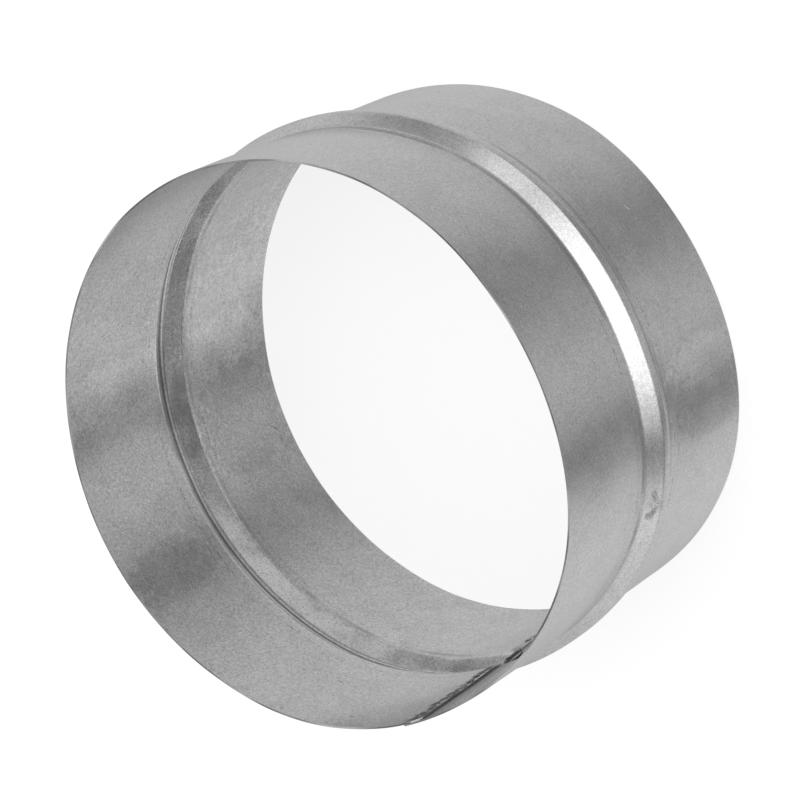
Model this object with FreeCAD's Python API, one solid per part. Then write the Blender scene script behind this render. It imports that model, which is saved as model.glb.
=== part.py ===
import FreeCAD, Part
import math
import os

from FreeCAD import Vector

# A round duct connector: one strip of thin galvanised sheet, rolled into a ring,
# lapped and stitch welded where its ends meet, with a raised stop bead rolled in
# at mid length. A duct pushes over each end as far as the bead.
# The ring stands on its lower rim: +Z is its axis, and the origin is the centre
# of that rim.

# Driving sizes, in millimetres and degrees

DUCT_BORE = 150.0  # inside diameter of the ducts that the two ends go into
SLIP_GAP = 0.5  # radial gap between the sleeve and a duct
SLEEVE_LENGTH = 90.0  # rim to rim
SHEET = 0.5  # thickness of the sheet

BEAD_HEIGHT = 3.0  # crest of the bead above the plain wall
BEAD_CREST = 2.4  # width of the bead's nearly flat crest
BEAD_FLANK_ANGLE = 32.0  # slope of the bead's two flanks against the wall
BEAD_FOOT_BEND = 1.0  # bend radius at the bead's foot, at mid sheet
BEAD_CREST_BEND = 1.6  # bend radius at the edges of the crest, at mid sheet
ROLLER_BAND = 4.4  # width of the band that the beading rollers pressed beside the bead
ROLLER_RISE = 0.18  # rise of that band towards the bead

SEAM_ANGLE = -90.0  # place of the seam round the axis, from +X
LAP_WIDTH = 5.6  # overlap of the strip's two ends
LAP_SQUEEZE = 0.1  # how far the weld has pressed the two layers into each other
LAP_LEAD = 14.0  # stretch before the lap over which each end leaves the round
CORNER_CLIP_ROUND = 3.4  # clipped corner of the inner layer, along the rim
CORNER_CLIP_ALONG = 1.1  # the same corner, along the axis
BEAD_NOTCH_WIDTH = 9.0  # relief notch of the inner layer at the bead, along the axis
BEAD_NOTCH_DEPTH = 3.9  # the same notch, in from the sheet's edge

WELD_PITCH = 3.5  # spacing of the stitch welds along the seam
WELD_SPOT = 2.2  # diameter of one weld dimple
WELD_DEPTH = 0.1  # depth of one weld dimple
WELD_FROM_EDGE = 2.3  # the row of welds, in from the inner layer's free edge
WELD_RIM_MARGIN = 3.6  # first weld's distance from each rim
WELD_BEAD_MARGIN = 2.0  # last weld's distance from the roller band

# Sizes that follow from those

MID_RADIUS = DUCT_BORE / 2 - SLIP_GAP - SHEET / 2
BEAD_CENTRE = SLEEVE_LENGTH / 2
CREST_EDGE = BEAD_CREST / 2
FLANK_RUN = (BEAD_HEIGHT - ROLLER_RISE) / math.tan(math.radians(BEAD_FLANK_ANGLE))
BEAD_FOOT = CREST_EDGE + FLANK_RUN
BAND_START = BEAD_FOOT + ROLLER_BAND
LAP_END = LAP_LEAD + LAP_WIDTH
LAP_SPRING = 2 * (SHEET - LAP_SQUEEZE) / (LAP_LEAD**2 + LAP_END**2)
AXIS = Vector(0, 0, 1)
ORIGIN = Vector(0, 0, 0)


def polar(radius, angle):
    """A point at that radius from the axis and that angle in degrees from +X."""
    a = math.radians(angle)
    return Vector(radius * math.cos(a), radius * math.sin(a), 0)


def unit(start, end):
    return (end - start).normalize()


def left_of(direction):
    """The direction turned a quarter left in the section's own plane."""
    return Vector(-direction.z, 0, direction.x)


# The strip's section, drawn in the XZ plane: X is the distance from the strip's
# mid line, outwards, and Z runs from the lower rim to the upper one.


def section_corners():
    """Corners of the strip's mid line from rim to rim, each with its bend radius."""
    below = [
        (0.0, BEAD_CENTRE, 0.0),
        (0.0, BAND_START, 0.0),
        (ROLLER_RISE, BEAD_FOOT, BEAD_FOOT_BEND),
        (BEAD_HEIGHT, CREST_EDGE, BEAD_CREST_BEND),
    ]
    lower = [(Vector(x, 0, BEAD_CENTRE - z), bend) for x, z, bend in below]
    upper = [(Vector(x, 0, BEAD_CENTRE + z), bend) for x, z, bend in reversed(below)]
    return lower + upper


def bend_points(before, corner, after, bend, offset):
    """Where one face of the sheet starts a bend, its middle and its end, or a crease's point."""
    way_in = unit(before, corner)
    way_out = unit(corner, after)
    turn = math.asin(left_of(way_in).dot(way_out))
    if not bend:
        across = (left_of(way_in) + left_of(way_out)).normalize()
        return [corner + across * (offset / math.cos(turn / 2))]
    side = math.copysign(1.0, turn)
    centre = corner - way_in * (bend * math.tan(abs(turn) / 2)) + left_of(way_in) * (side * bend)
    reach = bend - side * offset
    start = centre - left_of(way_in) * (side * reach)
    end = centre - left_of(way_out) * (side * reach)
    middle = centre + (start + end - centre * 2).normalize() * reach
    return [start, middle, end]


def sheet_side(corners, offset):
    """One face of the bent strip as a wire, that far to the left of its mid line."""
    points = [corner for corner, _ in corners]
    reached = points[0] + left_of(unit(points[0], points[1])) * offset
    tip = points[-1] + left_of(unit(points[-2], points[-1])) * offset
    edges = []
    for before, (corner, bend), after in zip(points, corners[1:-1], points[2:]):
        stops = bend_points(before, corner, after, bend, offset)
        edges.append(Part.LineSegment(reached, stops[0]).toShape())
        if bend:
            edges.append(Part.Arc(*stops).toShape())
        reached = stops[-1]
    edges.append(Part.LineSegment(reached, tip).toShape())
    return Part.Wire(edges)


def strip_section():
    """The sheet's closed section: both faces of the bent strip and its two cut edges."""
    corners = section_corners()
    inner = sheet_side(corners, SHEET / 2)
    outer = sheet_side(corners, -SHEET / 2)
    lower_rim, upper_rim = [
        Part.LineSegment(inner.OrderedVertexes[end].Point, outer.OrderedVertexes[end].Point).toShape()
        for end in (0, -1)
    ]
    edges = [*inner.Edges, upper_rim, *outer.Edges, lower_rim]
    return Part.Face(Part.Wire(Part.sortEdges(edges)[0]))


# The strip's path in plan: the round of the ring, and an arc at each end that
# leaves it by a tangent, one springing outwards and the other inwards.


class PlanArc:
    """One arc of the strip's mid line, seen along the axis."""

    def __init__(self, radius, tangent_angle, start, sweep):
        self.centre = polar(MID_RADIUS - radius, tangent_angle)
        self.radius = radius
        self.start = start
        self.sweep = sweep

    def carry(self, section):
        """The section carried round this arc, as a solid."""
        face = section.copy()
        face.translate(Vector(self.radius, 0, 0))
        return self.place(face.revolve(ORIGIN, AXIS, self.sweep), 0.0)

    def place(self, shape, along):
        """A shape drawn about +X, brought to the point that far along the arc, in millimetres."""
        shape.rotate(ORIGIN, AXIS, self.start + math.degrees(along / self.radius))
        shape.translate(self.centre)
        return shape


def strip_path():
    """The ring's round, the outer layer's end and the inner layer's end."""
    leave = math.degrees((LAP_WIDTH / 2 + LAP_LEAD) / MID_RADIUS)
    flatter = 1 / (1 / MID_RADIUS - LAP_SPRING)
    tighter = 1 / (1 / MID_RADIUS + LAP_SPRING)
    flatter_sweep = math.degrees(LAP_END / flatter)
    tighter_sweep = math.degrees(LAP_END / tighter)
    ring = PlanArc(MID_RADIUS, 0.0, SEAM_ANGLE + leave, 360 - 2 * leave)
    outer_end = PlanArc(flatter, SEAM_ANGLE + leave, SEAM_ANGLE + leave - flatter_sweep, flatter_sweep)
    inner_end = PlanArc(tighter, SEAM_ANGLE - leave, SEAM_ANGLE - leave, tighter_sweep)
    return ring, outer_end, inner_end


# What is cut from the inner layer's free edge before the two layers are joined.


def corner_clip(rim, inwards):
    """A wedge that clips one corner of the sheet, with the sheet's free edge at Y = 0."""
    outline = [
        (CORNER_CLIP_ROUND, -CORNER_CLIP_ALONG),
        (-CORNER_CLIP_ROUND, -CORNER_CLIP_ALONG),
        (-CORNER_CLIP_ROUND, 0.0),
        (0.0, CORNER_CLIP_ALONG),
        (CORNER_CLIP_ROUND, CORNER_CLIP_ALONG),
    ]
    corners = [Vector(0, y, rim + inwards * z) for y, z in outline]
    wedge = Part.Face(Part.makePolygon([*corners, corners[0]]))
    return wedge.extrude(Vector(MID_RADIUS + BEAD_HEIGHT, 0, 0))


def bead_notch():
    """The rounded relief notch where the bead crosses the sheet's free edge."""
    half_width = BEAD_NOTCH_WIDTH / 2
    oval = Part.Ellipse(ORIGIN, max(half_width, BEAD_NOTCH_DEPTH), min(half_width, BEAD_NOTCH_DEPTH))
    plug = Part.Face(Part.Wire(oval.toShape())).extrude(Vector(0, 0, MID_RADIUS + 2 * BEAD_HEIGHT))
    if half_width < BEAD_NOTCH_DEPTH:
        plug.rotate(ORIGIN, AXIS, 90)
    plug.rotate(ORIGIN, Vector(0, 1, 0), 90)
    plug.translate(Vector(0, 0, BEAD_CENTRE))
    return plug


# The stitch welds: a row of shallow dimples along the lap.


def weld_heights():
    """Heights of the welds, in even rows below and above the bead."""
    highest = BEAD_CENTRE - BAND_START - WELD_BEAD_MARGIN
    count = int((highest - WELD_RIM_MARGIN) / WELD_PITCH) + 1
    below = [WELD_RIM_MARGIN + i * WELD_PITCH for i in range(count)]
    return below + [SLEEVE_LENGTH - z for z in reversed(below)]


def weld_dimple(height, wall_radius):
    """A ball that presses one dimple, in two half faces, into the inside of a wall of that radius."""
    ball = (WELD_SPOT**2 / 4 + WELD_DEPTH**2) / (2 * WELD_DEPTH)
    return Part.makeSphere(ball, Vector(wall_radius + WELD_DEPTH - ball, 0, height))


def duct_connector():
    """The rolled, lapped, welded and beaded sleeve, as one solid."""
    section = strip_section()
    ring, outer_end, inner_end = strip_path()
    trims = [corner_clip(0.0, 1.0), corner_clip(SLEEVE_LENGTH, -1.0), bead_notch()]
    dimples = [weld_dimple(height, inner_end.radius - SHEET / 2) for height in weld_heights()]
    cutters = [inner_end.place(trim, LAP_END) for trim in trims]
    cutters += [inner_end.place(dimple, LAP_END - WELD_FROM_EDGE) for dimple in dimples]
    inner_layer = inner_end.carry(section).cut(cutters)
    sleeve = ring.carry(section).fuse([outer_end.carry(section), inner_layer]).removeSplitter()
    return sleeve.Solids[0]


def main():
    os.makedirs("parts", exist_ok=True)
    sleeve = duct_connector()
    sleeve.exportStep("parts/connector_sleeve.step")
    halves = [face for face in sleeve.Faces if isinstance(face.Surface, Part.Sphere)]
    print("valid", sleeve.isValid(), "faces", len(sleeve.Faces), "volume mm3", round(sleeve.Volume, 1))
    print("weld dimples", len(halves) / 2, "of", len(weld_heights()))


main()
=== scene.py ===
# %% [markdown]
# A duct connector in galvanised sheet
#
# The real object is one strip of thin zinc-coated steel. It is rolled into a ring, its two ends are
# lapped and stitch welded, and a stop bead is rolled in round the middle, so that a duct pushed over
# either end comes up against it. This lesson dresses the solid model of that ring: a finer sheet with
# the small faults of rolled metal, the welds, a galvanised finish, and the light to see it by.

# %% Load the frame and keep its size
import math

import bpy
from mathutils import Matrix, Vector


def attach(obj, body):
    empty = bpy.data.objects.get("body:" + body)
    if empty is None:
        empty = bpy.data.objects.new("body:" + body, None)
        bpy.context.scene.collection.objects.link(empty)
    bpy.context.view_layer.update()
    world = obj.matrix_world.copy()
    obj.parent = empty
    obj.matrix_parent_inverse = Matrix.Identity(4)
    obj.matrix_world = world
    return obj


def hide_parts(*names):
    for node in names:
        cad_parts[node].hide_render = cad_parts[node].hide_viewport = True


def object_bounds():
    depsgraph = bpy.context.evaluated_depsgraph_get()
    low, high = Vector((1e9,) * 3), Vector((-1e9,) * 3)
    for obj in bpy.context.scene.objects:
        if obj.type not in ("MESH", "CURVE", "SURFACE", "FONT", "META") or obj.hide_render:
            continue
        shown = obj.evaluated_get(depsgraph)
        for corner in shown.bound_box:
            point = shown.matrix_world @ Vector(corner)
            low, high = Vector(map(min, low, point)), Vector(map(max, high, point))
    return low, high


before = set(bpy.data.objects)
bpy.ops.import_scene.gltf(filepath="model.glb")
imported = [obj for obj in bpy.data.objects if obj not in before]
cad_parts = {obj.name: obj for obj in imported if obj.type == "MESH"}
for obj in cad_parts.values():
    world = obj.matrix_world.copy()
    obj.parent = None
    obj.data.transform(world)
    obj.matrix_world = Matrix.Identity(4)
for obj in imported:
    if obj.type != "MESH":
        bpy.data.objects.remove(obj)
cad_low, cad_high = [list(corner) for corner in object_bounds()]
MM = 0.001
scene = bpy.context.scene
scene.view_settings.view_transform = "Standard"
print("solid model, mm:", [round((b - a) / MM, 1) for a, b in zip(cad_low, cad_high)])

# %% [markdown]
# The camera comes first, because everything else is compared through it.
#
# The ring stands on its end here, and in the photograph it is seen from over one end, turned on its
# side. So the camera looks down on the ring and is rolled about its own line of sight. A long lens
# from 0.83 m gives the photograph's weak perspective.

# %% Place the camera
SLEEVE_LENGTH = cad_high[2] - cad_low[2]
VIEW_AZIMUTH = 97.91  # degrees from the -Y side, towards +X
VIEW_ELEVATION = 53.05
VIEW_ROLL = -117.92
VIEW_DISTANCE = 831.5 * MM
VIEW_LENS = 143.8  # mm, and so is the sensor's width
VIEW_SENSOR = 36


def look_at_ring(azimuth, elevation, roll, distance):
    """The place and turn of a camera that looks at the middle of the ring."""
    a, e = math.radians(azimuth), math.radians(elevation)
    back = Vector((math.sin(a) * math.cos(e), -math.cos(a) * math.cos(e), math.sin(e)))
    right = Vector((math.cos(a), math.sin(a), 0))
    turn = Matrix((right, back.cross(right), back)).transposed().to_4x4()
    place = Vector((0, 0, SLEEVE_LENGTH / 2)) + back * distance
    return Matrix.Translation(place) @ turn @ Matrix.Rotation(math.radians(roll), 4, "Z")


camera = bpy.data.objects.new("camera", bpy.data.cameras.new("camera"))
camera.data.lens = VIEW_LENS
camera.data.sensor_width = VIEW_SENSOR
camera.matrix_world = look_at_ring(VIEW_AZIMUTH, VIEW_ELEVATION, VIEW_ROLL, VIEW_DISTANCE)
scene.collection.objects.link(camera)
scene.camera = camera
print("camera at, mm:", [round(c / MM) for c in camera.location])

# %% [markdown]
# The strip's section
#
# Seen on its cut end, the strip is a straight wall, a band that the beading rollers pressed beside the
# bead, two flanks and a crest, and then the same again. It could be drawn as a bevelled curve, but the
# sheet has two faces, and each bend has a smaller radius on its inside than on its outside. So the mid
# line is drawn once, and both faces are worked out from it, half a sheet to each side.

# %% Draw the sheet's mid line
SHEET = 0.5 * MM
OUTER_RADIUS = 74.5 * MM
MID_RADIUS = OUTER_RADIUS - SHEET / 2
BEAD_CENTRE = SLEEVE_LENGTH / 2
BEAD_HEIGHT = 3.0 * MM
BEAD_CREST = 2.4 * MM
BEAD_FLANK_ANGLE = math.radians(29.4)  # as measured later: the solid's flanks are at 32 degrees
BEAD_FOOT_BEND = 2.4 * MM  # and its feet are bent tighter; the face moves by up to 0.25 mm
BEAD_CREST_BEND = 1.6 * MM
ROLLER_BAND = 4.4 * MM
ROLLER_RISE = 0.18 * MM
ROLLER_BEND = 0.8 * MM
BEAD_FOOT = BEAD_CREST / 2 + (BEAD_HEIGHT - ROLLER_RISE) / math.tan(BEAD_FLANK_ANGLE)
BAND_START = BEAD_FOOT + ROLLER_BAND
CORNER_CLIP_ALONG = 1.1 * MM


def mid_line():
    """Stops on the sheet's mid line, rim to rim: place, bend radius, and rows to the next stop."""
    half = [
        (0.0, BEAD_CENTRE, 0.0, 2),
        (0.0, BEAD_CENTRE - CORNER_CLIP_ALONG, 0.0, 12),
        (0.0, BAND_START, ROLLER_BEND, 3),
        (ROLLER_RISE, BEAD_FOOT, BEAD_FOOT_BEND, 6),
        (BEAD_HEIGHT, BEAD_CREST / 2, BEAD_CREST_BEND, 3),
    ]
    rows_down = [rows for *_, rows in half[-2::-1]] + [0]
    lower = [(Vector((x, BEAD_CENTRE - z)), bend, rows) for x, z, bend, rows in half]
    upper = [
        (Vector((x, BEAD_CENTRE + z)), bend, rows)
        for (x, z, bend, _), rows in zip(reversed(half), rows_down)
    ]
    return lower + upper


print("mid line:", len(mid_line()), "stops")

# %% [markdown]
# Both faces of the sheet
#
# Real bends share one centre for both faces, so the face on the inside turns on a smaller radius.
# Moving the mid line's points sideways would pinch them there. So each bend is laid out as a short
# arc about its centre, the straight runs between are divided into rows, and the rims get a small
# chamfer, as sheared sheet has.

# %% Draw both faces of the sheet
BEND_STEPS = 4
RIM_CHAMFER = 0.06 * MM


def left_of(direction):
    return Vector((-direction.y, direction.x))


def bend_points(before, corner, after, bend, offset):
    """Points of one face of the sheet round a bend of its mid line, or one point at a plain stop."""
    way_in = (corner - before).normalized()
    way_out = (after - corner).normalized()
    if not bend:
        return [corner + left_of(way_in) * offset]
    turn = math.asin(left_of(way_in).dot(way_out))
    side = math.copysign(1, turn)
    centre = corner - way_in * bend * math.tan(abs(turn) / 2) + left_of(way_in) * side * bend
    spoke = left_of(way_in) * side * (side * offset - bend)
    turns = [Matrix.Rotation(turn * i / BEND_STEPS, 2) for i in range(BEND_STEPS + 1)]
    return [centre + turned @ spoke for turned in turns]


def sheet_face(offset):
    """Points of one face of the sheet, that far to the left of its mid line, from rim to rim."""
    stops = mid_line()
    places = [place for place, _, _ in stops]
    points = [places[0] + left_of(places[1] - places[0]).normalized() * offset]
    for i, (place, bend, _) in enumerate(stops[1:], start=1):
        after = places[min(i + 1, len(places) - 1)]
        if i + 1 < len(places):
            bent = bend_points(places[i - 1], place, after, bend, offset)
        else:
            bent = [place + left_of(place - places[i - 1]).normalized() * offset]
        rows = stops[i - 1][2]
        start = points[-1]
        points += [start.lerp(bent[0], row / rows) for row in range(1, rows)]
        points += bent
    return points


def sheet_section():
    """The closed section as points (outwards, upwards): up the outer face, then down the inner one."""
    sides = []
    for offset in (-SHEET / 2, SHEET / 2):
        face = sheet_face(offset)
        corner = Vector((math.copysign(RIM_CHAMFER, offset), 0))
        low, high = face[0] + corner, face[-1] + corner
        face[0] += Vector((0, RIM_CHAMFER))
        face[-1] -= Vector((0, RIM_CHAMFER))
        sides.append([low, *face, high])
    return sides[0] + sides[1][::-1]


section_points = sheet_section()
proud = max(point.x for point in section_points)
print("section:", len(section_points), "points,", round(proud / MM, 2), "mm proud")

# %% [markdown]
# The strip's path
#
# Seen along the axis, the strip runs once round and a little further, so that its two ends lap. The
# end that lies outside springs out of the round on a slightly flatter arc, and the one inside on a
# slightly tighter arc. The path is kept as a poly curve, which Geometry Nodes can sample at any
# length. Its points are closest near the lap, where the small details are.

# %% Lay out the path in plan
SEAM_ANGLE = math.radians(-90)
LAP_WIDTH = 5.6 * MM
LAP_SQUEEZE = 0.1 * MM
LAP_LEAD = 14.0 * MM
LAP_END = LAP_LEAD + LAP_WIDTH
RING_COLUMNS = 440
END_COLUMNS = 34


def polar(radius, angle):
    return Vector((radius * math.cos(angle), radius * math.sin(angle), 0))


def plan_arc(radius, tangent_angle, start, sweep, columns):
    """Points along an arc that touches the round of the ring at the tangent angle."""
    centre = polar(MID_RADIUS - radius, tangent_angle)
    return [centre + polar(radius, start + sweep * i / columns) for i in range(columns + 1)]


def strip_path():
    """The strip's mid line in plan, from the outer layer's free end to the inner layer's."""
    spring = 2 * (SHEET - LAP_SQUEEZE) / (LAP_LEAD**2 + LAP_END**2)
    leave = (LAP_WIDTH / 2 + LAP_LEAD) / MID_RADIUS
    flatter = 1 / (1 / MID_RADIUS - spring)
    tighter = 1 / (1 / MID_RADIUS + spring)
    leaves_at = SEAM_ANGLE + leave
    joins_at = SEAM_ANGLE - leave
    sweep = LAP_END / flatter
    outer_end = plan_arc(flatter, leaves_at, leaves_at - sweep, sweep, END_COLUMNS)
    ring = plan_arc(MID_RADIUS, 0, leaves_at, 2 * math.pi - 2 * leave, RING_COLUMNS)
    inner_end = plan_arc(tighter, joins_at, joins_at, LAP_END / tighter, END_COLUMNS)
    return outer_end + ring[1:-1] + inner_end


def section_guide():
    """The section's points as a mesh that the nodes can look up row by row."""
    mesh = bpy.data.meshes.new("section_guide")
    mesh.from_pydata([(p.x, p.y, 0) for p in section_points], [], [])
    return bpy.data.objects.new("section_guide", mesh)


def path_guide():
    """The path as a poly curve."""
    curve = bpy.data.curves.new("path_guide", "CURVE")
    curve.dimensions = "3D"
    spline = curve.splines.new("POLY")
    points = strip_path()
    spline.points.add(len(points) - 1)
    for target, point in zip(spline.points, points):
        target.co = (*point, 1)
    return bpy.data.objects.new("path_guide", curve)


guides = [section_guide(), path_guide()]
for guide in guides:
    scene.collection.objects.link(guide)
section_object, path_object = guides
path_points = len(path_object.data.splines[0].points)
print("path:", path_points, "points")

# %% [markdown]
# A short way to write node trees
#
# Every tree below is built in the script, and a few helpers keep that readable. They all add to the
# tree that is being worked on. One adds a node and feeds its inputs in order, with plain values or
# with other nodes' outputs, and another starts a node group with named inputs and outputs.

# %% Helpers for node trees
def work_on(tree):
    """Choose the tree that the helpers add to."""
    global worked_on
    worked_on = tree
    return tree


def feed(node, values):
    """Feed inputs, given by name or by socket, with values or with outputs; None leaves one alone."""
    for key, value in values:
        socket = node.inputs[key] if isinstance(key, str) else key
        if isinstance(value, bpy.types.NodeSocket):
            worked_on.links.new(value, socket)
        elif value is not None:
            socket.default_value = value
    return node


def put(kind, *values, **options):
    """Add a node, set its options, and feed its live inputs in order."""
    node = worked_on.nodes.new(kind)
    for name, value in options.items():
        setattr(node, name, value)
    return feed(node, zip([socket for socket in node.inputs if socket.enabled], values))


def out(node, name=0):
    """One output of a node, the first live one unless it is named."""
    live = [socket for socket in node.outputs if socket.enabled]
    return live[0] if name == 0 else next(socket for socket in live if socket.name == name)


def new_tree(name, kind, inputs, outputs):
    """A node group with named inputs (name: type or (type, default)) and outputs."""
    tree = work_on(bpy.data.node_groups.new(name, kind))
    for label, spec in inputs.items():
        socket_type, default = spec if isinstance(spec, tuple) else (spec, None)
        socket_type = "NodeSocket" + socket_type
        socket = tree.interface.new_socket(label, in_out="INPUT", socket_type=socket_type)
        if default is not None:
            socket.default_value = default
    for label, socket_type in outputs.items():
        tree.interface.new_socket(label, in_out="OUTPUT", socket_type="NodeSocket" + socket_type)
    source = tree.nodes.new("NodeGroupInput")
    target = tree.nodes.new("NodeGroupOutput")
    return tree, source.outputs, target.inputs


print("helpers for trees ready")

# %% [markdown]
# Arithmetic in nodes
#
# Each step of a sum is a Math node of its own. Written out in full, that would hide what is worked
# out. These helpers name each kind of arithmetic, so that a rule reads nearly as it would on paper:
# times(a, b), or times_plus(a, b, c) for a times b, plus c.

# %% Helpers for arithmetic
def calc(operation, *values):
    """Arithmetic on numbers."""
    return out(put("ShaderNodeMath", *values, operation=operation))


def calculator(operation):
    """A function for one kind of arithmetic."""
    return lambda *values: calc(operation, *values)


plus, minus, times, over, times_plus, larger, smaller = map(
    calculator, ("ADD", "SUBTRACT", "MULTIPLY", "DIVIDE", "MULTIPLY_ADD", "MAXIMUM", "MINIMUM")
)


def apart(first, second):
    """How far apart two numbers are."""
    return calc("ABSOLUTE", minus(first, second))


def mixed(share, first, second):
    """Two numbers, mixed by a share."""
    return out(put("ShaderNodeMix", share, first, second, data_type="FLOAT"))


def vector(operation, *values):
    """Arithmetic on vectors."""
    return out(put("ShaderNodeVectorMath", *values, operation=operation))


def axes(place):
    """A vector's three numbers."""
    node = put("ShaderNodeSeparateXYZ", place)
    return [out(node, axis) for axis in "XYZ"]


def xyz(*values):
    """A vector of three numbers."""
    return out(put("ShaderNodeCombineXYZ", *values))


print("helpers for arithmetic ready")

# %% [markdown]
# Sprung out of round
#
# Thin sheet never springs into a true circle. Measured against the photograph, this ring is squeezed
# by up to two millimetres: mostly oval, a little three- to five-sided. Rolling the bead has also drawn
# the wall in by half a millimetre on both sides of it. A node group bends any position by those few
# named amounts, so that the sheet and the welds on it can share it and stay together.

# %% Build the sprung shape group
OUT_OF_ROUND = [  # lobes, share of the radius, direction in degrees
    (2, 0.0107, -53.5),
    (3, 0.0053, -33.0),
    (4, 0.0052, -40.0),
    (5, 0.0036, -35.4),
]
WAIST = 0.55 * MM
WAIST_REACH = 26.0 * MM


def scaled(direction, length):
    """A vector times a number."""
    node = put("ShaderNodeVectorMath", direction, operation="SCALE")
    return out(feed(node, [("Scale", length)]))


def ramped(value, start, end, low=0.0, high=1.0):
    """A value taken from one range to another, smoothly and without overshoot."""
    values = (value, start, end, low, high)
    return out(put("ShaderNodeMapRange", *values, interpolation_type="SMOOTHSTEP"))


def sprung_shape_group():
    """Moves a position along its radius: by a few lobes round the axis, and inwards near the bead."""
    numbers = dict.fromkeys(("Out Of Round", "Waist", "Reach", "Middle"), "Float")
    tree, source, target = new_tree(
        "sprung_shape", "GeometryNodeTree", {"Position": "Vector", **numbers}, {"Position": "Vector"}
    )
    x, y, z = axes(source["Position"])
    angle = calc("ARCTAN2", y, x)
    share = 0.0
    for lobes, size, direction in OUT_OF_ROUND:
        turned = times(minus(angle, math.radians(direction)), lobes)
        share = times_plus(calc("COSINE", turned), size, share)
    share = times(share, source["Out Of Round"])
    flat = vector("MULTIPLY", source["Position"], (1, 1, 0))
    near_bead = ramped(apart(z, source["Middle"]), source["Reach"], BEAD_CREST)
    drawn_in = times(near_bead, source["Waist"])
    moved = vector("ADD", source["Position"], scaled(flat, share))
    inwards = scaled(vector("NORMALIZE", flat), drawn_in)
    tree.links.new(vector("SUBTRACT", moved, inwards), target["Position"])
    return tree


sprung_shape = sprung_shape_group()


def sprung(position, source):
    """A position bent by the sprung shape, with the inputs of the tree it is in."""
    values = [position, *(source[name] for name in ("Out Of Round", "Waist", "Reach"))]
    middle = times(source["Length"], 0.5)
    return out(put("GeometryNodeGroup", *values, middle, node_tree=sprung_shape))


SPRUNG_INPUTS = {  # name: type and value
    "Length": ("Float", SLEEVE_LENGTH),
    "Out Of Round": ("Float", 1.0),
    "Waist": ("Float", WAIST),
    "Reach": ("Float", WAIST_REACH),
}
lobe_sum = sum(size for _, size, _ in OUT_OF_ROUND) * OUTER_RADIUS
print("out of round by up to", round(lobe_sum / MM, 2), "mm")

# %% [markdown]
# The trimmed edge
#
# The inner layer's free edge is clipped at its corners and notched where it would crowd the bead. A
# boolean cut would leave a ragged mesh there. So the trim is a rule instead, which says how far back
# the edge lies at each height, and the last columns of the sheet are drawn back by that much.

# %% Write the rule for the trimmed edge
CORNER_CLIP_ROUND = 3.4 * MM
BEAD_NOTCH_WIDTH = 9.0 * MM
BEAD_NOTCH_DEPTH = 3.9 * MM


def trimmed_back(source, height):
    """How far the free edge is cut back at a height: its clipped corners and its notch at the bead."""
    from_rim = smaller(height, minus(source["Length"], height))
    clip = minus(1, over(from_rim, source["Clip Along"]))
    clip = times(larger(clip, 0), source["Clip Round"])
    middle = times(source["Length"], 0.5)
    half_width = times(source["Notch Width"], 0.5)
    across = over(minus(height, middle), half_width)
    oval = minus(1, times(across, across))
    notch = times(calc("SQRT", larger(oval, 0)), source["Notch Depth"])
    return larger(clip, notch)


deepest = max(CORNER_CLIP_ROUND, BEAD_NOTCH_DEPTH)
print("free edge cut back by up to", round(deepest / MM, 1), "mm")

# %% [markdown]
# The rolled sheet
#
# The whole ring follows one rule: the section, carried along the path. So it is made by Geometry
# Nodes from a flat grid with a row for every point of the section and a column for every point of the
# path. Each grid point looks up its section point and its place on the path. One more column at each
# end folds onto the mid line, which closes the cut ends. Each point also keeps its flat position on
# the strip, for the finish.

# %% Name the rolled sheet's inputs
TRIM_ZONE = 8.0 * MM
WAVE_SIZE = 34.0 * MM
WAVE_HEIGHT = 0.7 * MM
galvanised = bpy.data.materials.new("galvanised_sheet_finish")

SHEET_INPUTS = {
    "Section": ("Object", section_object),
    "Path": ("Object", path_object),
    "Rows": ("Int", len(section_points)),
    "Columns": ("Int", path_points),
    "Clip Round": ("Float", CORNER_CLIP_ROUND),
    "Clip Along": ("Float", CORNER_CLIP_ALONG),
    "Notch Width": ("Float", BEAD_NOTCH_WIDTH),
    "Notch Depth": ("Float", BEAD_NOTCH_DEPTH),
    "Trim Zone": ("Float", TRIM_ZONE),
    "Wave Size": ("Float", WAVE_SIZE),
    "Wave Height": ("Float", WAVE_HEIGHT),
    "Material": ("Material", galvanised),
    **SPRUNG_INPUTS,
}
print("rolled sheet:", len(SHEET_INPUTS), "inputs")

# %% Build the rolled sheet's tree
MERGE_DISTANCE = 0.004 * MM
SHARP_ANGLE = math.radians(28)


def looked_up(geometry, value, index, data_type):
    """The value that one point of another geometry has."""
    values = (geometry, value, index)
    return out(put("GeometryNodeSampleIndex", *values, data_type=data_type, domain="POINT"))


def stored(mesh, name, value, data_type):
    """A mesh that keeps a value at each point under a name."""
    values = (mesh, None, name, value)
    return out(put("GeometryNodeStoreNamedAttribute", *values, data_type=data_type, domain="POINT"))


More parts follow.
